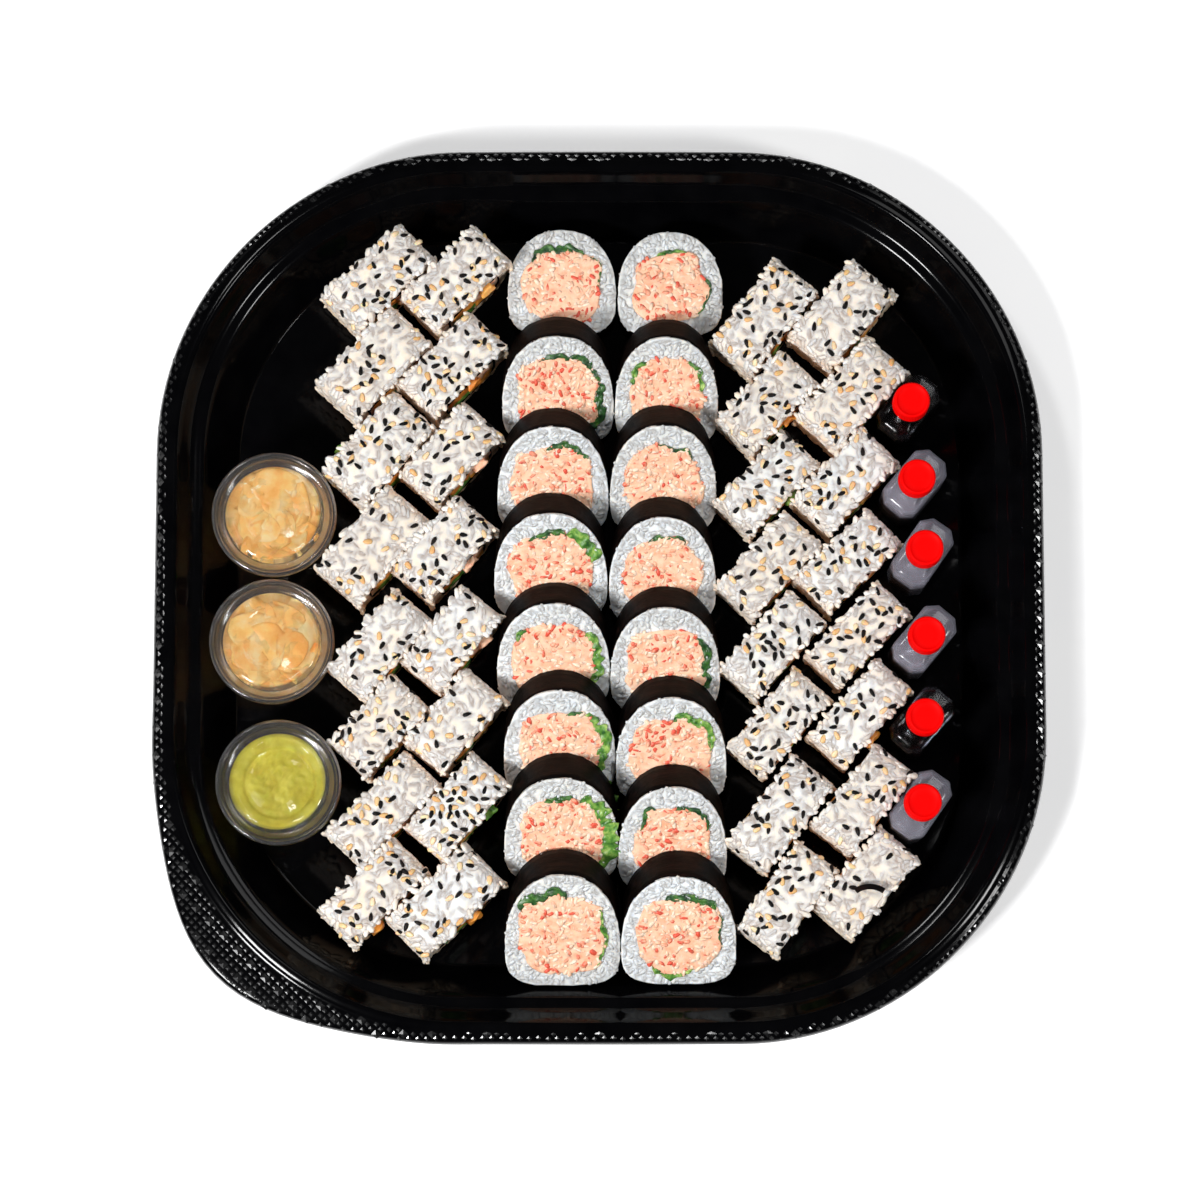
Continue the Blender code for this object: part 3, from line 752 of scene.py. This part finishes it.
def add_rice_roll(node, draws, seed, heaps):
    """One roll with the rice outside and seeds on top."""
    roll, rice, name = Roll(node), heaps["rice"], node[-2:]
    outline = box_outline(roll.half_width, roll.half_height)
    first = len(rice.points)
    core = box_outline(roll.half_width - CORE_SIDE_SINK, roll.half_height)
    half = roll.half_axis - CORE_FACE_SINK
    rice.add(roll.place(core_shape(core, 0.2, -half, half, seed, 56, 0.13)))
    side_grains(roll, outline, draws, rice)
    for side in (-1, 1):
        places = ring_places(outline, WRAP_DEPTH - 0.2, 3.1, draws)
        face_grains(roll, places, side, draws, rice)
        distances = spread_round(outline, 4.0, draws)
        along = side * (roll.half_axis - draws.uniform(0.6, 1.6, len(distances)))
        place_grains(roll, outline, draws, rice, distances, along, -0.3, tilt=0.3, proud=-0.2)
        distances = draws.uniform(0, outline.length, RAGGED_GRAINS)
        along = side * (roll.half_axis - draws.uniform(0.0, 0.9, RAGGED_GRAINS))
        place_grains(roll, outline, draws, rice, distances, along, -0.3, tilt=0.6, proud=0.2)
    surface = roll_surface(rice, first)
    blacks, tans = SEED_COUNTS[name[0]][int(name[1]) - 1]
    strew_seeds(roll, surface, draws, heaps["black"], BLACK_SESAME, BLACK_SEED, blacks, 0.9)
    strew_seeds(roll, surface, draws, heaps["tan"], TAN_SESAME, TAN_SEED, tans, 1.4)
    half = roll.half_axis - 0.2
    heaps["nori"].add(roll.place(band_shape(outline, WRAP_DEPTH, WRAP_THICKNESS, -half, half, seed, ragged=0.15)))
    for index, (across, up, wide, tall, kind) in enumerate(ROLL_FILLINGS):
        lump = core_shape(box_outline(wide, tall, 2.6, 2.6), 0.0, -half, half, seed + 3 + index, 16, 0.35)
        heaps[kind].add(roll.place(lump, (across, 0.0, up)))
    for stray, across, side, up, kind in STRAY_FILLINGS:
        if stray == name:
            ends = sorted((side * (roll.half_axis - 1.5), side * (roll.half_axis + 2.0)))
            lump = core_shape(box_outline(3.4, 2.6, 2.4, 2.4), 0.0, *ends, seed + 8, 20, 0.6)
            heaps[kind].add(roll.place(lump, (across, 0.0, up)))


def build_rice_rolls():
    """The rolls with the rice outside."""
    heaps = {kind: Heap() for kind in ("black", "tan", "nori", "salmon", "crab", "leaf")}
    for group, letter in enumerate("abcd"):
        heaps["rice"] = Heap()
        nodes = [f"uramaki_{letter}{number}" for number in range(1, 9)]
        for number, node in enumerate(nodes, 1):
            draws = np.random.default_rng([SEED, 10 + group, number])
            add_rice_roll(node, draws, 1000 + group * 100 + number * 10, heaps)
        heaps["rice"].piece(f"uramaki_rice_{letter}", "rice", "rice", nodes)
    heaps["black"].piece("black_sesame", "black_seed", "black_seed")
    heaps["tan"].piece("tan_sesame", "tan_seed", "tan_seed")
    heaps["nori"].piece("uramaki_nori", "nori", "seaweed")
    heaps["salmon"].piece("uramaki_salmon", "salmon", "filling")
    heaps["crab"].piece("uramaki_crab", "crab", "filling")
    heaps["leaf"].piece("uramaki_greens", "bright_leaf", "leaf")


# Leaves in each thick roll: first and last angle round the filling, width in mm, and the kind
THICK_LEAVES = {
    "l1": ((60, 140, 3.0, "leaf"), (-20, 50, 0.8, "leaf")),
    "l2": ((20, 115, 2.4, "leaf"), (-50, 20, 3.6, "leaf")),
    "l3": ((40, 100, 2.4, "leaf"),),
    "l4": ((15, 70, 5.5, "bright"), (70, 120, 3.0, "leaf")),
    "l5": ((128, 152, 2.6, "bright"), (-35, 50, 3.6, "bright")),
    "l6": ((-45, 60, 3.8, "bright"), (60, 85, 1.6, "leaf")),
    "l7": ((-55, 62, 6.0, "bright"), (70, 108, 2.6, "leaf")),
    "l8": ((80, 145, 4.4, "leaf"), (-45, 35, 1.6, "bright")),
    "r1": ((70, 115, 1.6, "bright"), (-45, 25, 1.2, "leaf")),
    "r2": ((118, 160, 2.4, "bright"), (10, 62, 1.8, "bright")),
    "r3": ((38, 100, 1.2, "leaf"),),
    "r4": ((55, 112, 1.3, "leaf"),),
    "r5": ((-40, 45, 3.0, "leaf"),),
    "r6": ((10, 92, 3.2, "bright"),),
    "r7": ((105, 150, 1.8, "leaf"), (20, 80, 2.4, "leaf")),
    "r8": ((45, 112, 3.2, "leaf"), (235, 292, 2.2, "bright"), (-20, 35, 0.8, "leaf")),
}


def leaf_shape(roll, outline, start, end, width, side, seed):
    """A crumpled leaf that runs round the filling between two angles."""
    reach = outline.length / 360
    steps = max(8, int((end - start) * reach / 0.9))
    distances = np.linspace(start, end, steps) * reach
    places, normals = outline.at(distances)
    ends = np.sin(np.linspace(0, pi, steps)) ** 0.35
    own = width * ends * (1.0 + 0.28 * waves(places, 5.0, seed))
    shares = np.linspace(0, 1, 6)
    grid = np.stack(np.meshgrid(distances, shares * width, indexing="ij"), -1)
    radial = -0.5 + shares[None, :] * own[:, None] + 0.25 * waves(grid, 3.0, seed + 1)
    plan = places[:, None, :] + normals[:, None, :] * radial[..., None]
    folds = waves(grid * (1.0, 1.5), 3.4, seed + 2)
    along = side * (roll.half_axis + 0.15 + 0.55 * folds)
    return roll.place(sheet(np.stack([plan[..., 0], along, plan[..., 1]], axis=-1), 0.35))


# Cut faces of a thick roll: side, pitch of the rice and of the grains at its edge, how far those are moved in,
# pitch of the shreds, and steps of the filling
THICK_FACES = ((1, 2.3, 2.2, 0.0, 2.0, 48), (-1, 4.2, 5.0, 1.6, 5.0, 24))


def add_thick_roll(node, draws, seed, heaps):
    """One roll with the seaweed outside."""
    roll, rice = Roll(node, lowest_is=SHOULDER), heaps["rice"]
    outline = dome_outline(roll.half_width, roll.rise)
    half = roll.half_axis
    points, triangles = band_shape(outline, 0.0, 0.5, -half, half - COLLAR, seed, steps=72, ragged=0.2)
    heaps["wrap"].add(roll.place((shaken(points, 7.0, 0.12, seed + 1), triangles)))
    for back, front, inset, steps in ((-half + 0.3, half - COLLAR, 0.4, 28),
                                      (half - COLLAR - 0.6, half - 0.45, 0.0, 64)):
        rice.add(roll.place(core_shape(outline, inset, back, front, seed + 4, steps, 0.12)))
    filling = box_outline(roll.half_width - 6.2, (roll.rise + SHOULDER) / 2 - 7.4, 2.7, 2.7)
    middle = (0.0, (roll.rise - SHOULDER) / 2 - 1.6)
    filling = Outline(shaken(filling.points[:-1] + middle, 14.0, 0.9, seed + 7))
    for side, rice_pitch, edge_pitch, moved_in, shred_pitch, steps in THICK_FACES:
        places = ring_places(outline, 14.0, rice_pitch, draws, outer_depth=1.8)
        places = places[filling.depth(places) < 0.6]
        face_grains(roll, places, side, draws, rice, tilt=0.09, size=FINE_GRAIN)
        edge, normals = outline.at(spread_round(outline, edge_pitch, draws))
        depths = draws.uniform(1.2, 1.9, (len(edge), 1)) + moved_in
        face_grains(roll, edge - normals * depths, side, draws, rice, proud=-0.2, size=FINE_GRAIN)
        ends = side * (half - 3.0), side * (half + 0.35)
        heaps["crab"].add(roll.place(core_shape(filling, 0.0, *ends, seed + 10, steps, 0.25)))
        places = ring_places(filling, 40.0, shred_pitch, draws, outer_depth=0.2)
        count = len(places)
        spots = on_axis(places, side * (half + draws.uniform(-0.3, 0.2, count)))
        angles = draws.uniform(0, pi, count)
        directions = np.column_stack([np.cos(angles), draws.normal(0, 0.2, count), np.sin(angles)])
        outwards = facing(side, draws, 0.2, count)
        sizes = random_sizes(draws, SHRED, count, 0.3)
        heaps["shreds"].strew(CRAB_SHRED, roll.out(spots), roll.turn(directions), roll.turn(outwards), sizes)
        for index, (start, end, width, kind) in enumerate(THICK_LEAVES[node[-2:]]):
            heaps[kind].add(leaf_shape(roll, filling, start, end, width, side, seed + 13 + index))


def build_thick_rolls():
    """The rolls with the seaweed outside."""
    heaps = {kind: Heap() for kind in ("wrap", "rice", "crab", "shreds", "leaf", "bright")}
    nodes = [f"futomaki_{letter}{number}" for letter in "lr" for number in range(1, 9)]
    for index, node in enumerate(nodes):
        group, number = index // 8, index % 8 + 1
        draws = np.random.default_rng([SEED, 20 + group, number])
        add_thick_roll(node, draws, 3000 + group * 200 + number * 20, heaps)
    heaps["wrap"].piece("futomaki_nori", "nori", "seaweed", nodes)
    heaps["rice"].piece("futomaki_rice", "cool_rice", "rice", nodes)
    heaps["crab"].piece("futomaki_filling", "crab", "filling", nodes)
    heaps["shreds"].piece("futomaki_shreds", "shreds", "filling", nodes)
    heaps["leaf"].piece("futomaki_dark_leaves", "leaf", "leaf", nodes)
    heaps["bright"].piece("futomaki_bright_leaves", "bright_leaf", "leaf", nodes)


# Pots

POT_HEIGHT = 32.0
LID_STEPS = 240
LID_RIBS = 0.28
GINGER_SLICES = 26


def pot_middle(node):
    low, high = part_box(node)
    return np.array(((low.x + high.x) / 2, (low.y + high.y) / 2, low.z)) / MM


def panel_shape():
    """The clear sunk panel of a lid, with two raised rings."""
    top = POT_HEIGHT
    profile = (
        (4.0, top - 3.7), (12.1, top - 3.7), (12.6, top - 3.35), (13.1, top - 3.7), (16.8, top - 3.7),
        (17.2, top - 3.4), (17.6, top - 3.7), (19.7, top - 3.7), (19.7, top - 4.2), (4.0, top - 4.2),
    )
    return turned(profile, 96)


def rim_shape():
    """The raised rim of a lid, whose inner slope is finely ribbed."""
    top = POT_HEIGHT
    profile = (
        (19.7, top - 3.7), (20.0, top - 3.55), (21.0, top - 3.15), (22.0, top - 2.7), (22.3, top - 2.4),
        (22.8, top - 0.2), (23.2, top), (24.0, top), (24.7, top - 0.3), (25.0, top - 1.0), (25.0, top - 4.6),
        (24.5, top - 4.6), (24.5, top - 1.2), (24.0, top - 0.6), (23.3, top - 0.6), (22.7, top - 3.0),
        (20.6, top - 4.0), (19.7, top - 4.2),
    )
    return ribbed(profile, LID_STEPS, (0.0, LID_RIBS),
                  lambda radius, height: 19.9 < radius < 22.1 and height > top - 3.6, caps=False)


def cup_shape():
    """A clear tapered cup, open at the top."""
    profile = ((6.0, 0.0), (14.4, 0.0), (15.2, 0.6), (19.4, 14.8), (22.9, 26.6), (23.2, 27.3),
               (22.7, 27.3), (22.4, 26.4), (18.9, 14.8), (14.8, 1.0), (14.0, 0.6), (6.0, 0.6))
    return turned(profile, 64)


def ginger_shape(centre, draws, seed, heap):
    """Folded slices of ginger, on a body of them that fills the cup."""
    body = ((4.0, 0.5), (14.1, 0.5), (14.9, 1.0), (18.98, 14.8), (21.3, 22.4), (20.6, 24.4), (14.0, 25.4),
            (5.0, 25.6))
    points, triangles = turned(body, 48)
    moved = shaken(points, 9.0, 0.8, seed)
    shares = np.clip((points[:, 2] - 22.0) / 2.0, 0, 1)[:, None]
    heap.add((points + (moved - points) * shares, triangles), centre)
    for number in range(GINGER_SLICES):
        u, v = np.meshgrid(np.linspace(-1, 1, 15), np.linspace(-1, 1, 11), indexing="ij")
        long, wide = draws.uniform(8.0, 13.0), draws.uniform(5.0, 8.5)
        x = u * long
        y = v * wide * np.sqrt(np.maximum(0.02, 1 - (u * 0.96) ** 2))
        flat = np.stack([x, y], -1)
        z = draws.uniform(1.2, 3.4) * np.sin(u * draws.uniform(1.2, 2.6) + draws.uniform(0, 6)) \
            + 0.8 * waves(flat, 7.0, seed + number * 3) + draws.uniform(-1.5, 1.5) * v
        turn = draws.uniform(0, 2 * pi)
        away, where = sqrt(draws.uniform(0, 1)) * 12.0, draws.uniform(0, 2 * pi)
        height = 24.2 + number * 0.09 + draws.uniform(-0.6, 0.6)
        grid = np.stack([x * cos(turn) - y * sin(turn) + away * cos(where),
                         x * sin(turn) + y * cos(turn) + away * sin(where), z + height], -1)
        reach = np.hypot(grid[..., 0], grid[..., 1])
        allowed = 19.6 + 0.5 * waves(grid[..., :2], 6.0, seed + number)
        grid[..., :2] *= np.minimum(1.0, allowed / np.maximum(reach, 0.01))[..., None]
        over = grid[..., 2] - 27.4
        grid[..., 2] -= np.where(over > 0, over * 0.92, 0.0)
        heap.add(sheet(grid, 0.7), centre)


def wasabi_shape(seed):
    """A paste that fills its cup, pressed into a round groove on top."""
    profile = [(4.0, 0.5), (14.1, 0.5), (14.9, 1.0), (18.98, 14.8), (21.0, 21.6), (20.2, 25.6), (19.6, 26.6),
               (19.0, 27.2)]
    for radius in np.linspace(18.4, 1.0, 30):
        sunk = 1.0 / (1.0 + exp((radius - 13.0) / 0.3))
        profile.append((radius, 27.3 - 1.1 * sunk - 1.1 * exp(-((radius - 13.3) / 0.8) ** 2)))
    points, triangles = turned(profile, 96)
    flat = points[:, :2]
    angles = np.arctan2(flat[:, 1], flat[:, 0])
    top = points[:, 2] > 24.0
    rough = waves(points, 3.2, seed) * 0.14 + waves(points, 9.0, seed + 1) * 0.16
    points[:, 2] += np.where(top, rough, 0.0)
    edge = np.exp(-((np.hypot(*flat.T) - 19.4) / 1.0) ** 2) * top
    stretch = 1 + edge * 0.03 * waves(np.column_stack([np.cos(angles), np.sin(angles)]) * 19, 4.0, seed + 2)
    points[:, :2] *= stretch[:, None]
    return points, triangles


def build_pots():
    """Two pots of ginger and one of wasabi."""
    panels, rims, cups, ginger, wasabi = (Heap() for _ in range(5))
    for number, node in enumerate(("ginger_pot_1", "ginger_pot_2")):
        ginger_shape(pot_middle(node), np.random.default_rng([SEED, 30 + number]), 5000 + number * 100, ginger)
    wasabi.add(wasabi_shape(5400), pot_middle("wasabi_pot"))
    nodes = ("ginger_pot_1", "ginger_pot_2", "wasabi_pot")
    for node in nodes:
        for heap, shape in ((panels, panel_shape), (rims, rim_shape), (cups, cup_shape)):
            heap.add(shape(), pot_middle(node))
    panels.piece("lid_panels", "clear", "clear_plastic", nodes)
    rims.piece("lid_rims", "rim_sheen", "clear_plastic", nodes)
    cups.piece("pot_cups", "clear", "clear_plastic", nodes)
    ginger.piece("ginger_slices", "ginger", "ginger", nodes[:2])
    wasabi.piece("wasabi_paste", "wasabi", "wasabi", nodes[2:])


# Bottles

BOTTLE_HALF = (14.0, 8.2)
BOTTLE_CHAMFER = 4.0
# Insets and heights of the film, and radii and heights of its neck
BOTTLE_OUTSIDE = ((1.4, 0.0), (0.5, 0.2), (0.0, 0.9), (0.0, 16.0), (0.0, 30.4), (0.3, 31.2), (1.5, 32.95),
                  (3.0, 33.48))
BOTTLE_NECK = ((6.0, 33.5), (5.4, 33.9), (5.4, 37.5), (4.6, 37.5), (4.6, 33.6), (5.0, 32.8))
BOTTLE_INSIDE = ((3.2, 32.7), (2.8, 32.5), (1.0, 30.7), (0.8, 30.2), (0.8, 16.0), (0.8, 1.4), (1.6, 0.8))
SAUCE_LEVELS = (29.6, 20.0, 21.0, 20.0, 29.6, 19.0)
FULL_LEVEL = 28.0
CAP_STEPS = 80
CAP_RIBS = 0.14


def bottle_ring(inset, height):
    """A rectangle with cut corners, seen from above."""
    long, wide = (half - inset for half in BOTTLE_HALF)
    cut = BOTTLE_CHAMFER - inset * 0.5
    corners = []
    for quarter in range(4):
        x, y = (1 if quarter in (0, 3) else -1), (1 if quarter < 2 else -1)
        pair = [(x * long, y * (wide - cut)), (x * (long - cut), y * wide)]
        corners.extend(pair if quarter % 2 == 0 else pair[::-1])
    corners = np.array(corners)
    ring = []
    for corner, following in zip(corners, np.roll(corners, -1, axis=0)):
        ring.extend(corner + (following - corner) * share for share in (0.04, 0.3, 0.7, 0.96))
    return np.column_stack([np.array(ring), np.full(len(ring), height)])


def round_ring(radius, height):
    """A circle with as many points as a bottle's ring."""
    plan = bottle_ring(0.0, 0.0)[:, :2]
    return np.column_stack([unit(plan) * radius, np.full(len(plan), height)])


def cap_shape():
    """A screw cap with a ribbed side and a slightly sunk top."""
    profile = [(3.0, 44.0), (5.4, 44.0), (5.8, 44.3), (6.2, 44.6), (6.6, 44.55), (7.0, 44.2), (7.2, 43.6),
               (7.2, 37.2), (7.35, 36.9), (7.35, 36.2), (7.1, 36.0), (5.0, 36.0)]
    return ribbed(profile, CAP_STEPS, (CAP_RIBS, 0.0),
                  lambda radius, height: 37.0 < height < 44.0 and radius > 7.0)


def build_bottles():
    """Six clear soy sauce bottles with red caps."""
    films, full_films, sauces, caps = Heap(), Heap(), Heap(), Heap()
    nodes = [f"soy_bottle_{number}" for number in range(1, 7)]
    full = [node for node, level in zip(nodes, SAUCE_LEVELS) if level > FULL_LEVEL]
    for node, level in zip(nodes, SAUCE_LEVELS):
        middle = pot_middle(node)
        long_side = np.cross((0.0, 0.0, 1.0), Roll(node).axis)
        basis = np.array((long_side, np.cross((0.0, 0.0, 1.0), long_side), (0.0, 0.0, 1.0)))

        def stand(shape):
            return shape[0] @ basis + middle, shape[1]

        film = [bottle_ring(*point) for point in BOTTLE_OUTSIDE] + [round_ring(*point) for point in BOTTLE_NECK]
        film += [bottle_ring(*point) for point in BOTTLE_INSIDE]
        (full_films if node in full else films).add(stand(loft(film)))
        sauce = ((2.2, 0.7), (1.5, 0.75), (0.72, 1.4), (0.72, 10.0), (0.72, level - 0.2), (0.9, level),
                 (2.4, level - 0.3), (4.4, level - 0.3))
        sauces.add(stand(loft([bottle_ring(*point) for point in sauce])))
        caps.add(stand(cap_shape()))
    others = [node for node in nodes if node not in full]
    films.piece("bottle_bodies", "bottle", "clear_plastic", others)
    full_films.piece("full_bottle_bodies", "full_bottle", "clear_plastic", full)
    sauces.piece("soy_sauce_fill", "soy", "soy_sauce", nodes)
    caps.piece("bottle_caps", "red", "red_plastic", nodes)


# Room

# Lights: place and size in metres, and power in watts
LIGHTS = {
    "key": ((-1.0, -0.9, 1.5), 0.35, 42),
    "fill": ((0.9, 1.0, 1.7), 0.9, 9),
    "front": ((1.2, -0.6, 1.6), 0.3, 13),
    "back": ((-0.8, 1.0, 1.7), 0.3, 9),
}


def add_area(name, place, size, power_watts, aim=(0.0, 0.0, 0.02)):
    """A soft square light that looks at a point."""
    data = bpy.data.lights.new(name, "AREA")
    data.size = size
    data.energy = power_watts
    light = bpy.data.objects.new(name, data)
    light.location = place
    light.rotation_euler = (Vector(aim) - Vector(place)).to_track_quat("-Z", "Y").to_euler()
    SCENE.collection.objects.link(light)


def build_room():
    """A pale floor, soft light and the camera."""
    mesh = bpy.data.meshes.new("floor")
    reach = 3.0
    corners = [(-reach, -reach, 0), (reach, -reach, 0), (reach, reach, 0), (-reach, reach, 0)]
    mesh.from_pydata(corners, [], [(0, 1, 2, 3)])
    mesh.materials.append(MATERIALS["floor"])
    floor = bpy.data.objects.new("floor", mesh)
    floor.location.z = -0.0002
    SCENE.collection.objects.link(floor)
    for name, light in LIGHTS.items():
        add_area(name, *light)
    world = bpy.data.worlds.new("room")
    world.use_nodes = True
    sky = world.node_tree.nodes["Background"].inputs
    sky["Color"].default_value = (0.95, 0.97, 1.0, 1.0)
    sky["Strength"].default_value = 0.04
    SCENE.world = world
    SCENE.view_settings.view_transform = "Standard"

    data = bpy.data.cameras.new("camera")
    data.lens = LENS
    camera = bpy.data.objects.new("camera", data)
    back = Vector((0.0, -cos(CAMERA_ELEVATION), sin(CAMERA_ELEVATION)))
    camera.location = TARGET + back * CAMERA_DISTANCE
    camera.rotation_euler = (pi / 2 - CAMERA_ELEVATION, 0.0, 0.0)
    SCENE.collection.objects.link(camera)
    SCENE.camera = camera


def main():
    build_tray()
    build_rice_rolls()
    build_thick_rolls()
    build_pots()
    build_bottles()
    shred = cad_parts["nori_shred"]
    shred.data.materials.clear()
    shred.data.materials.append(MATERIALS["nori"])
    build_room()


main()
